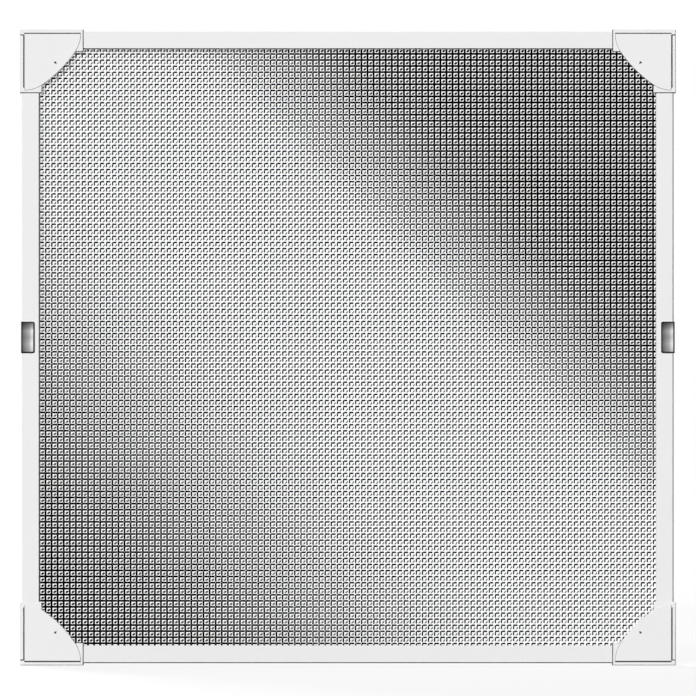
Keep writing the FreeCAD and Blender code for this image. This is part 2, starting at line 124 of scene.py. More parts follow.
def apply_modifiers(piece: Object) -> None:
    """Apply every modifier of a piece, in order.

    Args:
        piece: the object whose modifiers become mesh.
    """
    make_active(piece)
    for modifier in list(piece.modifiers):
        bpy.ops.object.modifier_apply(modifier=modifier.name)


def settle(piece: Object) -> None:
    """Put a piece's place into its mesh, so that the object sits at the origin.

    Args:
        piece: the finished object.
    """
    make_active(piece)
    bpy.ops.object.transform_apply(location=True, rotation=True, scale=True)


def join(pieces: list[Object], name: str) -> Object:
    """Join objects into the first one.

    Args:
        pieces: the objects to join, two or more.
        name: name of the joined piece.

    Returns:
        The joined object.
    """
    deselect_all()
    for piece in pieces:
        piece.select_set(True)
    bpy.context.view_layer.objects.active = pieces[0]
    bpy.ops.object.join()
    joined = bpy.context.object
    joined.name = name
    joined.data.name = name
    return joined


def repeat(piece: Object, count: int, step: Vector, weld: bool = False) -> None:
    """Repeat a piece along a line and apply the result.

    Args:
        piece: the object to repeat.
        count: how many copies in all.
        step: from one copy to the next, in metres.
        weld: merge the ends that meet.
    """
    array = piece.modifiers.new("row", "ARRAY")
    array.count = count
    array.use_relative_offset = False
    array.use_constant_offset = True
    array.constant_offset_displace = step
    array.use_merge_vertices = weld
    array.merge_threshold = WELD
    apply_modifiers(piece)


def crop(piece: Object, point: Vector, outward: Vector) -> None:
    """Cut away what lies outside a plane and close the cut ends.

    Args:
        piece: the object to cut.
        point: a point on the plane.
        outward: the plane's normal, towards what goes.
    """
    make_active(piece)
    bpy.ops.object.mode_set(mode="EDIT")
    bpy.ops.mesh.select_all(action="SELECT")
    bpy.ops.mesh.bisect(plane_co=point, plane_no=outward, clear_outer=True, use_fill=True)
    bpy.ops.object.mode_set(mode="OBJECT")


def paint(piece: Object, material: Material) -> None:
    """Give a piece one material all over.

    Args:
        piece: the object to paint.
        material: its material.
    """
    piece.data.materials.clear()
    piece.data.materials.append(material)


def dress_nodes(names: Sequence[str], material: Material) -> list[Object]:
    """Give CAD nodes a material.

    Args:
        names: the nodes.
        material: their material.

    Returns:
        The nodes' objects.
    """
    dressed = [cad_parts[name] for name in names]
    for node in dressed:
        paint(node, material)
    return dressed


def grey_colour(level: float) -> Colour:
    """A grey as a colour."""
    return (level, level, level, 1.0)


class NodeTree:
    """Short ways to lay nodes out in a material or a world."""

    def __init__(self, owner: Material | bpy.types.World) -> None:
        """Switch the owner's nodes on.

        Args:
            owner: the material or world.
        """
        owner.use_nodes = True
        self.nodes = owner.node_tree.nodes
        self.links = owner.node_tree.links

    def add(self, kind: str, **settings: object) -> bpy.types.Node:
        """Add a node and set its properties.

        Args:
            kind: the node's type name.
            **settings: properties of the node.

        Returns:
            The new node.
        """
        node = self.nodes.new(kind)
        for setting, value in settings.items():
            setattr(node, setting, value)
        return node

    def feed(self, socket: Socket, value: Input) -> None:
        """Link an output into a socket, or set the socket's own value.

        Args:
            socket: the input to fill.
            value: an output socket, a number or a colour.
        """
        if isinstance(value, Socket):
            self.links.new(value, socket)
        else:
            socket.default_value = value

    def maths(self, operation: str, *values: Input) -> Socket:
        """Add a Math node.

        Args:
            operation: its operation.
            *values: its inputs, in order.

        Returns:
            Its output.
        """
        node = self.add("ShaderNodeMath", operation=operation)
        for socket, value in zip(node.inputs, values):
            self.feed(socket, value)
        return node.outputs[0]

    def seen_directly(self) -> Socket:
        """Find the rays that show a surface in the picture, in a reflection or through glass.

        Returns:
            1 for those rays, 0 for the rays that light other surfaces.
        """
        rays = self.add("ShaderNodeLightPath")
        seen = self.maths("MAXIMUM", rays.outputs["Is Camera Ray"], rays.outputs["Is Glossy Ray"])
        return self.maths("MAXIMUM", seen, rays.outputs["Is Transmission Ray"])


class NodeBoard(NodeTree):
    """The nodes of a new material, with its shader and its coordinates at hand."""

    def __init__(self, name: str) -> None:
        """Start a material with a Principled shader.

        Args:
            name: the material's name.
        """
        self.material = bpy.data.materials.new(name)
        super().__init__(self.material)
        self.shader = self.nodes["Principled BSDF"]
        coordinates = self.add("ShaderNodeTexCoord")
        self.place = coordinates.outputs["Object"]
        self.normal = coordinates.outputs["Normal"]

    def between(self, value: Socket, low: float, high: float) -> Socket:
        """Mark where a value lies between two numbers.

        Args:
            value: the value's output.
            low: the lower number.
            high: the higher number.

        Returns:
            1 there, 0 elsewhere.
        """
        above = self.maths("GREATER_THAN", value, low)
        return self.maths("MULTIPLY", above, self.maths("LESS_THAN", value, high))

    def blend(self, share: Input, first: Input, second: Input, mode: str = "MIX") -> Socket:
        """Mix two colours.

        Args:
            share: how much of the second shows.
            first: a colour or colour output.
            second: a colour or colour output.
            mode: blend mode.

        Returns:
            The mixed colour.
        """
        node = self.add("ShaderNodeMix", data_type="RGBA", blend_type=mode)
        sockets = [socket for socket in node.inputs if socket.enabled]
        for socket, value in zip(sockets, (share, first, second)):
            self.feed(socket, value)
        return next(socket for socket in node.outputs if socket.enabled)

    def darker(self, colour: Socket, share: float) -> Socket:
        """A colour dimmed to a share of its brightness."""
        return self.blend(1.0, colour, grey_colour(share), "MULTIPLY")

    def along(self, source: Socket, direction: Axis) -> Socket:
        """Measure a point or normal along a direction.

        Args:
            source: a vector output.
            direction: the direction, not made unit length.

        Returns:
            The dot product.
        """
        node = self.add("ShaderNodeVectorMath", operation="DOT_PRODUCT")
        self.feed(node.inputs[0], source)
        node.inputs[1].default_value = direction
        return node.outputs["Value"]

    def lower_right_edge(self, least_slant: float = 0.12, least_front: float = 0.04) -> Socket:
        """Mark the front edges that look to the lower right.

        Args:
            least_slant: how far at least they turn to the lower right.
            least_front: how far at least they still look to the front.

        Returns:
            1 on them, 0 elsewhere.
        """
        lower_right = self.maths("GREATER_THAN", self.along(self.normal, LOWER_RIGHT), least_slant)
        still_front = self.maths("GREATER_THAN", self.along(self.normal, FRONT), least_front)
        return self.maths("MULTIPLY", lower_right, still_front)

    def noise(self, scale: float, detail: float, stretch: Axis = (1.0, 1.0, 1.0)) -> Socket:
        """Add a noise pattern in the object's own place.

        Args:
            scale: pattern repeats per metre.
            detail: levels of finer noise.
            stretch: scale along each axis before the noise is read.

        Returns:
            The noise's value.
        """
        mapping = self.add("ShaderNodeMapping")
        mapping.inputs["Scale"].default_value = stretch
        self.feed(mapping.inputs["Vector"], self.place)
        node = self.add("ShaderNodeTexNoise")
        node.inputs["Scale"].default_value = scale
        node.inputs["Detail"].default_value = detail
        self.feed(node.inputs["Vector"], mapping.outputs["Vector"])
        return node.outputs[0]

    def ramp(self, value: Socket, stops: Stops) -> Socket:
        """Turn a value into a grey by stops.

        Args:
            value: the value to read, 0 to 1.
            stops: position and grey of each stop, two or more.

        Returns:
            The grey as a colour.
        """
        node = self.add("ShaderNodeValToRGB")
        elements = node.color_ramp.elements
        for number, (position, grey) in enumerate(stops):
            element = elements[number] if number < len(elements) else elements.new(position)
            element.position = position
            element.color = grey_colour(grey)
        self.feed(node.inputs[0], value)
        return node.outputs[0]

    def mottle(self, scale: float, detail: float, dark: float, pale: float) -> Socket:
        """Add a grey that wanders between two levels.

        Args:
            scale: pattern repeats per metre.
            detail: levels of finer noise.
            dark: grey of the darkest patches.
            pale: grey of the palest patches.

        Returns:
            The grey as a colour.
        """
        return self.ramp(self.noise(scale, detail), ((NOISE_LOW, dark), (NOISE_HIGH, pale)))

    def surface(self, tone: Socket, roughness: float, specular: float, metallic: float = 0.0) -> None:
        """Fill the shader in: its colour from a pattern, the rest as its own constants.

        Args:
            tone: the base colour.
            roughness: the shader's roughness.
            specular: the shader's specular level.
            metallic: how metallic it is.
        """
        self.feed(self.shader.inputs["Base Color"], tone)
        self.shader.inputs["Roughness"].default_value = roughness
        self.shader.inputs["Specular IOR Level"].default_value = specular
        self.shader.inputs["Metallic"].default_value = metallic

    def bump(self, height: Socket, strength: float, distance: float) -> None:
        """Drive the shader's normal from a height.

        Args:
            height: the height's output.
            strength: how much of it shows.
            distance: height of a full step, in metres.
        """
        node = self.add("ShaderNodeBump")
        node.inputs["Strength"].default_value = strength
        node.inputs["Distance"].default_value = distance
        self.feed(node.inputs["Height"], height)
        self.feed(self.shader.inputs["Normal"], node.outputs[0])


@dataclass(frozen=True)
class Coat:
    """Satin coat of the aluminium bars, near white with a very fine orange peel.

    Its front edges that look to the lower right are painted dark grey, as painted shade.
    """

    name: str = "frame_coat"
    grey: float = 0.86
    uneven: float = 0.012
    patch_scale: float = 14.0
    patch_detail: float = 3.0
    edge_shade_grey: float = 0.015
    roughness: float = 0.42
    specular: float = 0.35
    peel_scale: float = 900.0
    peel_detail: float = 1.0
    peel_share: float = 0.35
    peel_depth: float = 0.02 * MM

    def make(self) -> Material:
        """Build the material.

        Returns:
            The material.
        """
        board = NodeBoard(self.name)
        plain = board.mottle(self.patch_scale, self.patch_detail, self.grey - self.uneven, self.grey)
        # Painted shade: the front edges that look to the lower right are painted dark grey.
        tone = board.blend(board.lower_right_edge(), plain, grey_colour(self.edge_shade_grey))
        board.surface(tone, self.roughness, self.specular)
        board.bump(board.noise(self.peel_scale, self.peel_detail), self.peel_share, self.peel_depth)
        return board.material


@dataclass(frozen=True)
class Moulding:
    """Moulded plastic of the corner pieces, the bars' colour and spark-eroded.

    Painted shade darkens its sunk lines, apart from the lower joints' lines, which face up and stay pale,
    and greys the fan's slanting edge, apart from where it looks up. Painted shade also darkens its front
    edges that look to the lower right and a ring round the gate mark, which has a short dark tail.

    Attributes:
        flat: least frontward normal of the bottom of a sunk line.
        slant: frontward normal of the fan's slanting edge, from and to.
        upward: upward normal from which the slanting edge stays pale.
        line_bottoms: Y of the sunk lines' bottoms, from and to.
        lit_joints: Z of the joint lines that face up to the light and so get no painted shade, from and to.
        fan_edge: Y of the fan's slanting edge, from and to.
        gate_middle: X and Z of the gate mark, without their signs.
        gate_reach: radius of the painted shade round the gate mark.
        tail_length: length of the tail, from the gate mark's middle.
        tail_spread: how far a point of the tail may lie further in than down, or further down than in.
    """

    name: str = "corner_plastic"
    grey: float = 0.87
    uneven: float = 0.012
    patch_scale: float = 30.0
    patch_detail: float = 2.0
    line_shade_grey: float = 0.03
    edge_shade_grey: float = 0.03
    slant_shade_grey: float = 0.22
    roughness: float = 0.5
    specular: float = 0.35
    grain_scale: float = 1800.0
    grain_detail: float = 2.0
    grain_share: float = 0.4
    grain_depth: float = 0.02 * MM
    flat: float = 0.9
    slant: Span = (0.1, 0.9)
    upward: float = 0.42
    line_bottoms: Span = (-12.05 * MM, -10.2 * MM)
    lit_joints: Span = (-280.0 * MM, -274.0 * MM)
    fan_edge: Span = (-12.88 * MM, -12.42 * MM)
    gate_middle: Span = (318.7 * MM, 310.4 * MM)
    gate_reach: float = 1.25 * MM
    tail_length: float = 2.4 * MM
    tail_spread: float = 0.375 * MM

    def gate_shade_and_tail(self, board: NodeBoard) -> Socket:
        """Mark the painted shade round the gate mark and its short dark tail towards the frame's middle.

        Args:
            board: the material's nodes.

        Returns:
            1 on them, 0 elsewhere.
        """
        across = board.maths("ABSOLUTE", board.along(board.place, RIGHT))
        up = board.maths("ABSOLUTE", board.along(board.place, UP))
        inward = board.maths("SUBTRACT", self.gate_middle[0], across)
        downward = board.maths("SUBTRACT", self.gate_middle[1], up)
        diagonal = board.maths("MULTIPLY", board.maths("ADD", inward, downward), math.sqrt(0.5))
        aside = board.maths("ABSOLUTE", board.maths("SUBTRACT", inward, downward))
        on_tail = board.maths("LESS_THAN", aside, self.tail_spread)
        tail = board.maths("MULTIPLY", on_tail, board.between(diagonal, 0.0, self.tail_length))
        squares = [board.maths("MULTIPLY", offset, offset) for offset in (inward, downward)]
        ring = board.maths("LESS_THAN", board.maths("ADD", *squares), self.gate_reach ** 2)
        return board.maths("MAXIMUM", ring, tail)

    def sunk_lines(self, board: NodeBoard, depth: Socket, facing: Socket) -> Socket:
        """Mark the bottoms of the sunk lines for painted shade, apart from the joint lines that face up.

        Args:
            board: the material's nodes.
            depth: place along Y.
            facing: how far the surface looks to the front.

        Returns:
            1 on them, 0 elsewhere.
        """
        in_line = board.between(depth, *self.line_bottoms)
        sunk = board.maths("MULTIPLY", in_line, board.maths("GREATER_THAN", facing, self.flat))
        lit = board.between(board.along(board.place, UP), *self.lit_joints)
        return board.maths("MULTIPLY", sunk, board.maths("SUBTRACT", 1.0, lit))

    def slanting_edge(self, board: NodeBoard, depth: Socket, facing: Socket) -> Socket:
        """Mark the fan's slanting edge where it doesn't look up, for painted shade.

        Args:
            board: the material's nodes.
            depth: place along Y.
            facing: how far the surface looks to the front.

        Returns:
            1 on it, 0 elsewhere.
        """
        on_edge = board.between(depth, *self.fan_edge)
        slanting = board.maths("MULTIPLY", board.between(facing, *self.slant), on_edge)
        not_upward = board.maths("LESS_THAN", board.along(board.normal, UP), self.upward)
        return board.maths("MULTIPLY", slanting, not_upward)

    def make(self) -> Material:
        """Build the material.

        Returns:
            The material.
        """
        board = NodeBoard(self.name)
        plain = board.mottle(self.patch_scale, self.patch_detail, self.grey - self.uneven, self.grey)
        depth = board.along(board.place, BACK)
        facing = board.along(board.normal, FRONT)
        # Painted shade: the front edges that look to the lower right are painted dark.
        edge_shaded = board.blend(board.lower_right_edge(), plain, grey_colour(self.edge_shade_grey))
        slanting = self.slanting_edge(board, depth, facing)
        # Painted shade: the fan's slanting edge is painted grey where it doesn't look up.
        edged = board.blend(slanting, edge_shaded, grey_colour(self.slant_shade_grey))
        # Painted shade round the gate mark, with the mark's dark tail.
        dark = board.maths("MAXIMUM", self.sunk_lines(board, depth, facing), self.gate_shade_and_tail(board))
        # Painted shade: the sunk lines' bottoms, the ring round the gate mark and its dark tail are painted
        # near black.
        tone = board.blend(dark, edged, grey_colour(self.line_shade_grey))
        board.surface(tone, self.roughness, self.specular)
        board.bump(board.noise(self.grain_scale, self.grain_detail), self.grain_share, self.grain_depth)
        return board.material


@dataclass(frozen=True)
class SpringSteel:
    """Brushed strip steel of a clip, with a painted reflection darker towards its upper left.

    Its edges have painted shade.

    Attributes:
        side: which bar the clip sits on.
        low: lower corner of the clip's box.
        high: upper corner of the clip's box.
        corner: radius of the clip's outline.
        upper_left_shade_width: width of the painted shade along the upper left edge.
        lower_right_shade_width: width of the painted shade along the lower right edge.
        shade_rim_width: width of the greyer strip of painted shade inside those edges.
        face: least frontward normal of the clip's face.
        edge_turn: how far from the clip's diagonal the lower right edge starts.
    """

    side: Side
    low: Vector
    high: Vector
    corner: float = 2.2 * MM
    upper_left_shade_width: float = 1.2 * MM
    lower_right_shade_width: float = 1.5 * MM
    shade_rim_width: float = 0.5 * MM
    dim_share: float = 0.25
    black: float = 0.002
    grey_share: float = 0.6
    face: float = 0.2
    edge_turn: float = -0.03
    wall_grey: float = 0.5
    across_tones: Stops = ((0.0, 0.08), (0.3, 0.28), (0.6, 0.5), (0.82, 0.95), (1.0, 1.0))
    upward_tones: Stops = (
        (0.0, 0.45), (0.12, 0.52), (0.3, 0.68), (0.5, 0.48), (0.7, 0.65), (0.82, 0.34), (1.0, 0.06),
    )
    streaks: Stops = ((0.25, 0.85), (0.75, 1.0))
    metallic: float = 0.4
    roughness: float = 0.45
    specular: float = 0.1
    brush_scale: float = 260.0
    brush_detail: float = 3.0
    brush_stretch: Axis = (0.08, 1.0, 8.0)
    brush_share: float = 0.2
    brush_depth: float = 0.02 * MM

    def rim_distance(self, board: NodeBoard) -> Socket:
        """Measure from the clip's outline as seen from the front.

        Args:
            board: the material's nodes.

        Returns:
            The distance outside the outline, below 0 on the clip's face.
        """
        middle = (self.low + self.high) / 2
        half = (self.high - self.low) / 2
        reaches = []
        for axis, centre, extent in ((RIGHT, middle.x, half.x), (UP, middle.z, half.z)):
            off = board.maths("ABSOLUTE", board.maths("SUBTRACT", board.along(board.place, axis), centre))
            reaches.append(board.maths("SUBTRACT", off, extent - self.corner))
        outside = [board.maths("MAXIMUM", reach, 0.0) for reach in reaches]
        squares = [board.maths("MULTIPLY", reach, reach) for reach in outside]
        round_part = board.maths("SQRT", board.maths("ADD", *squares))
        flat_part = board.maths("MINIMUM", board.maths("MAXIMUM", *reaches), 0.0)
        return board.maths("SUBTRACT", board.maths("ADD", round_part, flat_part), self.corner)

    def share(self, board: NodeBoard, axis: Axis, low: float, high: float) -> Socket:
        """Measure how far a place lies along an axis.

        Args:
            board: the material's nodes.
            axis: the axis.
            low: where the share is 0.
            high: where the share is 1.

        Returns:
            The share.
        """
        scale = 1 / (high - low)
        return board.maths("MULTIPLY_ADD", board.along(board.place, axis), scale, -low * scale)

    def face_tone(self, board: NodeBoard, brushed: Socket) -> Socket:
        """Colour the clip's face, with its edges.

        Args:
            board: the material's nodes.
            brushed: the brushed noise.

        Returns:
            The colour.
        """
        rightward = self.share(board, RIGHT, self.low.x, self.high.x)
        upward = self.share(board, UP, self.low.z, self.high.z)
        # Painted reflection: the face's grey across and up is a painted chrome reflection, darker towards
        # the upper left.
        across = board.ramp(rightward, self.across_tones)
        shine = board.blend(1.0, across, board.ramp(upward, self.upward_tones), "MULTIPLY")
        streaked = board.blend(1.0, shine, board.ramp(brushed, self.streaks), "MULTIPLY")
        # Painted shade: a dim band on the upper left edge, a black one on the lower right edge and a greyer
        # rim inside them.
        lower_right = board.maths("GREATER_THAN", board.maths("SUBTRACT", rightward, upward), self.edge_turn)
        edge = board.maths("MULTIPLY_ADD", lower_right, self.lower_right_shade_width - self.upper_left_shade_width, self.upper_left_shade_width)
        depth = board.maths("ADD", self.rim_distance(board), edge)
        in_rim = board.maths("GREATER_THAN", depth, -self.shade_rim_width)
        in_edge = board.maths("GREATER_THAN", depth, 0.0)
        dimmed = board.blend(in_rim, streaked, board.darker(streaked, self.grey_share))
        shaded_edge = board.blend(lower_right, board.darker(streaked, self.dim_share), grey_colour(self.black))
        return board.blend(in_edge, dimmed, shaded_edge)

    def make(self) -> Material:
        """Build the material.

        Returns:
            The material.
        """
        board = NodeBoard("spring_steel_" + self.side.name.lower())
        brushed = board.noise(self.brush_scale, self.brush_detail, self.brush_stretch)
        wall_tone = board.ramp(brushed, [(place, self.wall_grey * level) for place, level in self.streaks])
        on_front = board.maths("GREATER_THAN", board.along(board.normal, FRONT), self.face)
        tone = board.blend(on_front, wall_tone, self.face_tone(board, brushed))
        board.surface(tone, self.roughness, self.specular, self.metallic)
        board.bump(brushed, self.brush_share, self.brush_depth)
        return board.material


@dataclass(frozen=True)
class SplineRubber:
    """Matt black rubber of the spline, with faint ribs round it, counted per metre of X plus Z."""

    name: str = "spline_rubber"
    dark: float = 0.0245
    pale: float = 0.049
    patch_scale: float = 60.0
    patch_detail: float = 3.0
    roughness: float = 0.7
    specular: float = 0.3
    rib_scale: float = 700.0
    rib_share: float = 0.4
    rib_depth: float = 0.08 * MM

    def make(self) -> Material:
        """Build the material.

        Returns:
            The material.
        """
        board = NodeBoard(self.name)
        tone = board.mottle(self.patch_scale, self.patch_detail, self.dark, self.pale)
        board.surface(tone, self.roughness, self.specular)
        across = board.along(board.place, UPPER_RIGHT)
        ribs = board.maths("SINE", board.maths("MULTIPLY", across, self.rib_scale * math.tau))
        board.bump(ribs, self.rib_share, self.rib_depth)
        return board.material


@dataclass(frozen=True)
class Sheen:
    """A painted sheen: a broad band of painted light across the mesh, from its upper left to its lower
    right.

    Attributes:
        reach: largest X plus Z that the levels can tell apart.
        levels: X plus Z in metres, which grows towards the upper right, and the share of the sheen there.
    """

    reach: float = 640 * MM
    levels: Stops = (
        (-0.6, 0.0), (-0.549, 0.06), (-0.470, 0.21), (-0.392, 0.41), (-0.314, 0.64), (-0.235, 0.84),
        (-0.157, 0.96), (-0.07, 1.0), (0.085, 1.0), (0.157, 0.95), (0.235, 0.58), (0.314, 0.14), (0.38, 0.0),
    )

    def share(self, board: NodeBoard) -> Socket:
        """Read how much of the sheen a place gets.

        Args:
            board: the material's nodes.

        Returns:
            The share, from 0 to 1.
        """
        scale = 0.5 / self.reach
        place = board.maths("MULTIPLY_ADD", board.along(board.place, UPPER_RIGHT), scale, 0.5)
        return board.ramp(place, [(0.5 + where * scale, level) for where, level in self.levels])


@dataclass(frozen=True, kw_only=True)
class WireFinish:
    """What the mesh's finishes share: black coated wire under a painted pale sheen, with a fine grain."""

    name: str
    black: float = 0.002
    # Grey of the painted sheen where it is full.
    pale: float = 0.97
    metallic: float = 0.35
    roughness: float = 1.0
    specular: float = 0.02
    grain_scale: float = 2400.0
    grain_detail: float = 1.0
    grain_share: float = 0.2
    grain_depth: float = 0.01 * MM

    def finish(self, board: NodeBoard, tone: Socket) -> Material:
        """Fill the shader in.

        Args:
            board: the material's nodes.
            tone: the wire's colour.

        Returns:
            The material.
        """
        board.surface(tone, self.roughness, self.specular, self.metallic)
        board.bump(board.noise(self.grain_scale, self.grain_detail), self.grain_share, self.grain_depth)
        return board.material


@dataclass(frozen=True, kw_only=True)
class MeshWire(WireFinish):
    """Wire with a painted highlight on its upper left side and all over just before each crossing.

    Elsewhere it has painted shade. Both painted highlights shrink to nothing as the painted sheen fades.

    Attributes:
        across: from the shining side to the shaded one.
        run: along the wire.
        crossing: a point where wires cross.
        pitch: from crossing to crossing.
        half_width: half of the wire's width.
        shade_from: where the painted shade starts in full sheen, from the wire's middle.
        crossing_share: share of the pitch with the painted highlight before a crossing in full sheen.
        crossing_fade: how fast that shrinks with the sheen, as a power.
    """

    across: Vector
    run: Vector
    crossing: Vector
    pitch: float
    half_width: float
    shade_from: float
    crossing_share: float = 0.34
    crossing_fade: float = 2.5

    def phase(self, board: NodeBoard, direction: Vector, low: float) -> Socket:
        """Measure along a direction from the nearest crossing.

        Args:
            board: the material's nodes.
            direction: the direction, of unit length.
            low: the lowest phase.

        Returns:
            The distance in pitches, from low to low + 1.
        """
        past = board.along(board.place, tuple(direction / self.pitch))
        offset = self.crossing.dot(direction) / self.pitch
        return board.maths("WRAP", board.maths("SUBTRACT", past, offset), low + 1.0, low)

    def make(self) -> Material:
        """Build the material.

        Returns:
            The material.
        """
        board = NodeBoard(self.name)
        share = Sheen().share(board)
        lit_edge = -self.half_width / self.pitch
        lit_width = (self.shade_from + self.half_width) / self.pitch
        # Painted shade: the wire's lower right part is painted black, apart from a painted highlight before
        # each crossing.
        shade_starts = board.maths("MULTIPLY_ADD", share, lit_width, lit_edge)
        shaded = board.maths("GREATER_THAN", self.phase(board, self.across, -0.5), shade_starts)
        fading = board.maths("POWER", share, self.crossing_fade)
        shine_starts = board.maths("MULTIPLY_ADD", fading, -self.crossing_share, 1.0)
        clear = board.maths("LESS_THAN", self.phase(board, self.run, 0.0), shine_starts)
        dark = board.maths("MULTIPLY", shaded, clear)
        return self.finish(board, board.blend(dark, grey_colour(self.pale), grey_colour(self.black)))


@dataclass(frozen=True, kw_only=True)
class MeshKnot(WireFinish):
    """Knots, fine wires and hem: painted shade on the lower right, and paler with the painted sheen
    elsewhere.

    Attributes:
        shade: grey of the painted shade on the lower right side in full sheen.
        turned: how far a surface turns to the lower right before it is that side.
    """

    shade: float = 0.05
    turned: float = 0.05

    def make(self) -> Material:
        """Build the material.

        Returns:
            The material.
        """
        board = NodeBoard(self.name)
        share = Sheen().share(board)
        # Painted shade: surfaces that turn to the lower right take the darker grey; the rest takes the
        # painted sheen.
        away = board.maths("GREATER_THAN", board.along(board.normal, LOWER_RIGHT), self.turned)
        lit = board.maths("MULTIPLY_ADD", share, self.pale - self.black, self.black)
        shaded = board.maths("MULTIPLY_ADD", share, self.shade - self.black, self.black)
        return self.finish(board, board.blend(away, lit, shaded))


@dataclass
class WovenMesh:
    """The stretched mesh: flat diamond wires in plain weave, a finer pale set through the cells and a turned
    hem.

    A dark knot in each cell and the finer set are a painted shadow of the weave.

    Sizes are in metres. The hem's outline is that of the CAD wall.

    Attributes:
        warp_shade: where an upright wire's painted shade starts, from its middle.
        weft_shade: where a level wire's painted shade starts, from its middle.
        lift: how far a wire rises and falls at the crossings.
        plane: Y of the weave's middle.
        warp_shift: X of the upright wire nearest the middle of the frame.
        weft_shift: Z of the level wire nearest the middle of the frame.
        fine_back: fine wires behind the weave's middle.
        corner_trim: how far the wires stop short of the hem's round corners.
    """

    pitch: float = 6.626 * MM
    wire_width: float = 2.3 * MM
    wire_depth: float = 0.6 * MM
    warp_shade: float = -0.4 * MM
    weft_shade: float = -0.65 * MM
    lift: float = 0.29 * MM
    plane: float = -0.98 * MM
    warp_shift: float = 1.48 * MM
    weft_shift: float = 2.15 * MM
    fine_width: float = 0.25 * MM
    fine_back: float = 0.42 * MM
    knot_sides: int = 6
    knot_length: float = 4.1 * MM
    knot_width: float = 2.7 * MM
    knot_depth: float = 0.5 * MM
    knot_right: float = 0.25 * MM
    knot_down: float = 0.25 * MM
    knot_back: float = 0.1 * MM
    knot_turn: float = math.radians(35)
    hem_round: float = 12.5 * MM
    hem_segments: int = 8
    hem_wall: float = 0.45 * MM
    corner_trim: float = 0.4 * MM
    half_width: float = field(init=False)
    half_height: float = field(init=False)
    front: float = field(init=False)
    back: float = field(init=False)

    def __post_init__(self) -> None:
        """Take the outline from the CAD wall."""
        low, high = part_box("screen_mesh")
        self.half_width = (high[0] - low[0]) / 2
        self.half_height = (high[2] - low[2]) / 2
        self.front = low[1]
        self.back = high[1]

    def ring(self, width: float, depth: float, along: Vector, place: Vector, name: str) -> Object:
        """Make a four-sided ring across a wire, left in edit mode with all of it selected.

        Args:
            width: width of the wire in the mesh's plane.
            depth: depth of the wire.
            along: unit direction of the wire, X or Z.
            place: middle of the ring.
            name: name of the new object.

        Returns:
            The object.
        """
        deselect_all()
        turn = (0.0, 0.0 if along.z else math.pi / 2, 0.0)
        bpy.ops.mesh.primitive_circle_add(
            vertices=4, radius=0.5, fill_type="NOTHING", location=place, rotation=turn
        )
        wire = bpy.context.object
        wire.name = name
        wire.scale = (width, depth, 1.0)
        settle(wire)
        bpy.ops.object.mode_set(mode="EDIT")
        bpy.ops.mesh.select_all(action="SELECT")
        return wire

    def woven_pair(self, along: Vector, across: Vector, start: Vector, phase: int, name: str) -> Object:
        """Make two neighbouring wires over one repeat of the weave, one rising where the other falls.

        Args:
            along: unit direction of the wires.
            across: unit direction from one wire to the next.
            start: middle of the first wire's first crossing.
            phase: 1 if the first wire starts in front, -1 if behind.
            name: name of the pair.

        Returns:
            The pair as one object.
        """
        wires = []
        for number, sign in enumerate((phase, -phase)):
            place = start + across * (number * self.pitch)
            place.y = self.plane - sign * self.lift
            wire = self.ring(self.wire_width, self.wire_depth, along, place, f"{name}_{number}")
            for step in (sign, sign, -sign, -sign):
                move = along * (self.pitch / 2) + Vector((0, step * self.lift, 0))
                bpy.ops.mesh.extrude_region_move(TRANSFORM_OT_translate={"value": move})
            bpy.ops.object.mode_set(mode="OBJECT")
            wires.append(wire)
        return join(wires, name)

    def straight(self, along: Vector, start: Vector, length: float, name: str) -> Object:
        """Make one straight fine wire.

        Args:
            along: unit direction of the wire.
            start: middle of its first end.
            length: its length.
            name: its name.

        Returns:
            The wire.
        """
        wire = self.ring(self.fine_width, self.fine_width, along, start, name)
        bpy.ops.mesh.extrude_region_move(TRANSFORM_OT_translate={"value": along * length})
        bpy.ops.object.mode_set(mode="OBJECT")
        return wire

    def first(self, half: float, shift: float) -> float:
        """Find the last lattice line that lies outside one side of the mesh.

        Args:
            half: half of the mesh's side.
            shift: place of the lattice line nearest the middle.

        Returns:
            The line's place, below -half.
        """
        return shift - math.ceil((half + shift) / self.pitch) * self.pitch

    def trim(self, piece: Object) -> None:
        """Crop a set of wires to the hem's outline, with its corners cut across.

        Args:
            piece: the wires.
        """
        reach = Vector((self.half_width, 0, self.half_height))
        for side in (Vector(RIGHT), Vector(UP)):
            for outward in (side, -side):
                crop(piece, outward * side.dot(reach), outward)
        inset = self.hem_round * (1 - math.sqrt(0.5)) + self.corner_trim
        for side in (-1, 1):
            for end in (-1, 1):
                point = Vector((side * (self.half_width - inset), 0, end * (self.half_height - inset)))
                crop(piece, point, Vector((side, 0, end)))

    def layer(self, along: Vector, across: Vector, phase: int, name: str) -> Object:
        """Make all the woven wires of one direction.

        Args:
            along: unit direction of the wires.
            across: unit direction from wire to wire.
            phase: which wire of the first pair starts in front.
            name: name of the piece.

        Returns:
            The finished layer.
        """
        left = self.first(self.half_width, self.warp_shift)
        low = self.first(self.half_height, self.weft_shift)
        pair = self.woven_pair(along, across, Vector((left, 0, low)), phase, name)
        repeats_x = math.ceil(self.half_width / self.pitch) + 1
        repeats_z = math.ceil(self.half_height / self.pitch) + 1
        long_count = repeats_z if along.z else repeats_x
        wide_count = repeats_x if along.z else repeats_z
        repeat(pair, long_count, along * (2 * self.pitch), weld=True)
        repeat(pair, wide_count, across * (2 * self.pitch))
        self.trim(pair)
        return pair

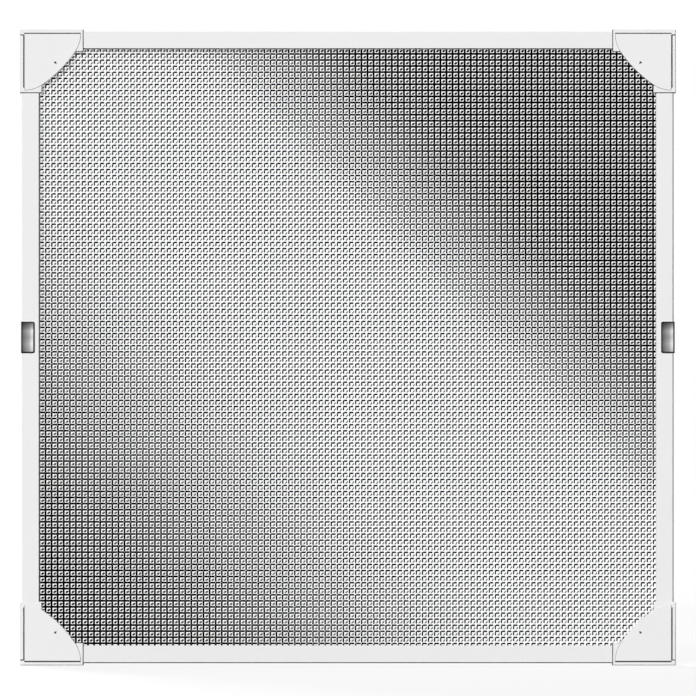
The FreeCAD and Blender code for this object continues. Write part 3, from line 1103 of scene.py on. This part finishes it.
    def fine_layer(self) -> Object:
        """Make the finer wires through the middles of the cells, faint grey lines that are a painted shadow
        of the weave.

        Returns:
            The wires of both directions as one object.
        """
        left = self.first(self.half_width, self.warp_shift) + self.pitch / 2
        low = self.first(self.half_height, self.weft_shift) + self.pitch / 2
        columns = math.ceil(2 * self.half_width / self.pitch) + 1
        lines = math.ceil(2 * self.half_height / self.pitch) + 1
        depth = self.plane + self.fine_back
        right, up = Vector(RIGHT), Vector(UP)
        start = Vector((left, depth, low - self.pitch))
        upright = self.straight(up, start, (lines + 1) * self.pitch, "fine_upright")
        repeat(upright, columns, right * self.pitch)
        start = Vector((left - self.pitch, depth, low))
        level = self.straight(right, start, (columns + 1) * self.pitch, "fine_level")
        repeat(level, lines, up * self.pitch)
        fine = join([upright, level], "mesh_fine_wires")
        self.trim(fine)
        return fine

    def shadow_knots(self) -> Object:
        """Make one slanting dark knot in each cell, a painted shadow where the weave's shadow lines cross.

        Returns:
            The painted shadow knots as one object.
        """
        left = self.first(self.half_width, self.warp_shift) + 1.5 * self.pitch
        low = self.first(self.half_height, self.weft_shift) + 1.5 * self.pitch
        columns = math.floor((self.half_width - left) / self.pitch) + 1
        lines = math.floor((self.half_height - low) / self.pitch) + 1
        deselect_all()
        place = (left + self.knot_right, self.plane + self.knot_back, low - self.knot_down)
        turn = (math.pi / 2, -self.knot_turn, 0)
        bpy.ops.mesh.primitive_cone_add(
            vertices=self.knot_sides, radius1=0.5, radius2=0, depth=1.0, location=place, rotation=turn
        )
        shadow_knot = bpy.context.object
        shadow_knot.name = "mesh_shadow_knots"
        shadow_knot.scale = (self.knot_length, self.knot_width, self.knot_depth)
        settle(shadow_knot)
        repeat(shadow_knot, columns, Vector(RIGHT) * self.pitch)
        repeat(shadow_knot, lines, Vector(UP) * self.pitch)
        return shadow_knot

    def hem(self) -> Object:
        """Make the turned edge that the spline presses into the groove.

        Returns:
            The hem.
        """
        deselect_all()
        turn = (math.pi / 2, 0, 0)
        bpy.ops.mesh.primitive_plane_add(size=1.0, location=(0, self.front, 0), rotation=turn)
        hem = bpy.context.object
        hem.name = "mesh_hem"
        hem.scale = (2 * self.half_width, 2 * self.half_height, 1.0)
        settle(hem)
        depth = Vector(BACK) * (self.back - self.front)
        bpy.ops.object.mode_set(mode="EDIT")
        bpy.ops.mesh.select_all(action="SELECT")
        bpy.ops.mesh.bevel(offset=self.hem_round, segments=self.hem_segments, affect="VERTICES")
        bpy.ops.mesh.select_all(action="SELECT")
        bpy.ops.mesh.delete(type="ONLY_FACE")
        bpy.ops.mesh.select_all(action="SELECT")
        bpy.ops.mesh.extrude_region_move(TRANSFORM_OT_translate={"value": depth})
        bpy.ops.mesh.select_all(action="SELECT")
        bpy.ops.mesh.normals_make_consistent(inside=False)
        bpy.ops.object.mode_set(mode="OBJECT")
        wall = hem.modifiers.new("wall", "SOLIDIFY")
        wall.thickness = self.hem_wall
        wall.offset = -1.0
        apply_modifiers(hem)
        return hem

    def build(self) -> list[Object]:
        """Build and dress the mesh's pieces.

        Returns:
            The pieces, which stand for the CAD wall.
        """
        right, up = Vector(RIGHT), Vector(UP)
        crossing = Vector((self.warp_shift, 0, self.weft_shift))
        lattice = {"crossing": crossing, "pitch": self.pitch, "half_width": self.wire_width / 2}
        warp = MeshWire(name="mesh_warp_wire", across=right, run=-up, shade_from=self.warp_shade, **lattice)
        weft = MeshWire(name="mesh_weft_wire", across=-up, run=right, shade_from=self.weft_shade, **lattice)
        # The fine wires are a faint painted shadow of the weave.
        fine = MeshKnot(name="mesh_fine_wire", black=0.8, shade=0.85)
        # The knots are a painted shadow: dark pieces where the weave's shadow lines would cross.
        shadow_knot = MeshKnot(name="mesh_shadow_knot")
        plain = MeshKnot(name="mesh_hem_wire", shade=0.3, pale=0.9)
        dressed = [
            (self.layer(up, right, 1, "mesh_warp"), warp),
            (self.layer(right, up, -1, "mesh_weft"), weft),
            (self.fine_layer(), fine),
            (self.shadow_knots(), shadow_knot),
            (self.hem(), plain),
        ]
        for piece, finish in dressed:
            paint(piece, finish.make())
            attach(piece, BODY)
            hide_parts("screen_mesh")
        return [piece for piece, _ in dressed]


@dataclass
class FrameBars:
    """The four coated bars, as the CAD made them."""

    nodes: tuple[str, ...] = ("stile_left", "stile_right", "rail_top", "rail_bottom")

    def build(self) -> list[Object]:
        """Dress the bars and return them."""
        return dress_nodes(self.nodes, Coat().make())


@dataclass
class Corners:
    """The four moulded corner pieces, as the CAD made them."""

    nodes: tuple[str, ...] = (
        "corner_top_left", "corner_top_right", "corner_bottom_left", "corner_bottom_right",
    )

    def build(self) -> list[Object]:
        """Dress the corners and return them."""
        return dress_nodes(self.nodes, Moulding().make())


@dataclass
class SideClips:
    """The two folded clips, as the CAD made them."""

    nodes: tuple[tuple[str, Side], ...] = (("side_clip_left", Side.LEFT), ("side_clip_right", Side.RIGHT))

    def build(self) -> list[Object]:
        """Dress each clip with its own side's steel.

        Returns:
            The clips.
        """
        pieces = []
        for node, side in self.nodes:
            low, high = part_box(node)
            pieces += dress_nodes((node,), SpringSteel(side, Vector(low), Vector(high)).make())
        return pieces


@dataclass
class Spline:
    """The rubber cord in the groove, as the CAD made it."""

    nodes: tuple[str, ...] = ("spline",)

    def build(self) -> list[Object]:
        """Dress the spline and return it."""
        return dress_nodes(self.nodes, SplineRubber().make())


@dataclass(frozen=True)
class Lamp:
    """A sun lamp, with the direction from the object towards it and its softness in degrees."""

    name: str
    towards: Axis
    strength: float
    softness: float

    def hang(self) -> None:
        """Put the lamp into the scene."""
        data = bpy.data.lights.new(self.name, "SUN")
        data.energy = self.strength
        data.angle = math.radians(self.softness)
        lamp = bpy.data.objects.new(self.name, data)
        lamp.rotation_euler = Vector(self.towards).to_track_quat("Z", "Y").to_euler()
        bpy.context.scene.collection.objects.link(lamp)


@dataclass
class Studio:
    """Pale floor, soft light from the upper left and a long camera straight in front.

    Attributes:
        photo_side: side of the picture in pixels.
        object_width_px: width of the frame in the picture.
        object_middle_px: middle of the frame in the picture, from its upper left.
        ambient: strength of the even light on surfaces.
        floor_glow: how much the floor adds to its colour where it is seen, up to white.
    """

    photo_side: int = 696
    object_width_px: float = 655.8
    object_middle_px: tuple[float, float] = (347.9, 347.5)
    camera_distance: float = 9.0
    camera_reach: float = 100.0
    sensor: float = 36.0
    ambient: float = 0.13
    floor_side: float = 6.0
    floor_grey: float = 0.3
    floor_uneven: float = 0.01
    floor_patch_scale: float = 3.0
    floor_patch_detail: float = 2.0
    floor_roughness: float = 0.9
    floor_glow: float = 0.75
    lamps: tuple[Lamp, ...] = (
        Lamp("front", (-0.22, -0.93, 0.28), 2.2, 10.0),
        Lamp("key", (-0.62, -0.5, 0.6), 0.7, 10.0),
        Lamp("back", (-0.35, 0.8, 0.45), 2.4, 20.0),
        Lamp("side", (0.93, 0.3, 0.1), 1.5, 20.0),
    )

    def world(self) -> None:
        """Make dim even light for surfaces, and white where nothing stands in the way."""
        world = bpy.data.worlds.new("studio")
        bpy.context.scene.world = world
        tree = NodeTree(world)
        background = tree.nodes["Background"]
        background.inputs["Color"].default_value = WHITE
        strength = tree.maths("MULTIPLY_ADD", tree.seen_directly(), 1.0 - self.ambient, self.ambient)
        tree.feed(background.inputs["Strength"], strength)

    def floor(self) -> None:
        """Lay a pale floor just under the frame, which looks white where no shadow falls on it."""
        deselect_all()
        low = CAD_BOX[0][2]
        bpy.ops.mesh.primitive_plane_add(size=self.floor_side, location=(0, 0, low))
        floor = bpy.context.object
        floor.name = "floor"
        settle(floor)
        board = NodeBoard("floor_paint")
        darkest = self.floor_grey - self.floor_uneven
        tone = board.mottle(self.floor_patch_scale, self.floor_patch_detail, darkest, self.floor_grey)
        board.surface(tone, self.floor_roughness, specular=0.0)
        board.shader.inputs["Emission Color"].default_value = WHITE
        glow = board.maths("MULTIPLY", board.seen_directly(), self.floor_glow)
        board.feed(board.shader.inputs["Emission Strength"], glow)
        paint(floor, board.material)

    def camera(self) -> None:
        """Set a straight-on camera whose picture puts the frame where the photo has it."""
        low, high = CAD_BOX
        metres_per_px = (high[0] - low[0]) / self.object_width_px
        data = bpy.data.cameras.new("camera")
        data.sensor_width = self.sensor
        data.lens = self.sensor * self.camera_distance / (metres_per_px * self.photo_side)
        data.clip_end = self.camera_reach
        camera = bpy.data.objects.new("camera", data)
        middle = self.photo_side / 2
        across = (middle - self.object_middle_px[0]) * metres_per_px
        up = (self.object_middle_px[1] - middle) * metres_per_px
        camera.location = (across, low[1] - self.camera_distance, up)
        camera.rotation_euler = (math.pi / 2, 0, 0)
        bpy.context.scene.collection.objects.link(camera)
        bpy.context.scene.camera = camera

    def build(self) -> None:
        """Set up the whole studio."""
        self.world()
        for lamp in self.lamps:
            lamp.hang()
        self.floor()
        self.camera()
        bpy.context.scene.view_settings.view_transform = "Standard"


def main() -> None:
    """Build the studio and every sub-assembly in order, and report the pieces."""
    logging.basicConfig(level=logging.INFO, format="%(name)s %(message)s")
    Studio().build()
    for assembly in (FrameBars(), Corners(), SideClips(), Spline(), WovenMesh()):
        for piece in assembly.build():
            log.info("%s: %d faces", piece.name, len(piece.data.polygons))


if __name__ == "__main__":
    main()
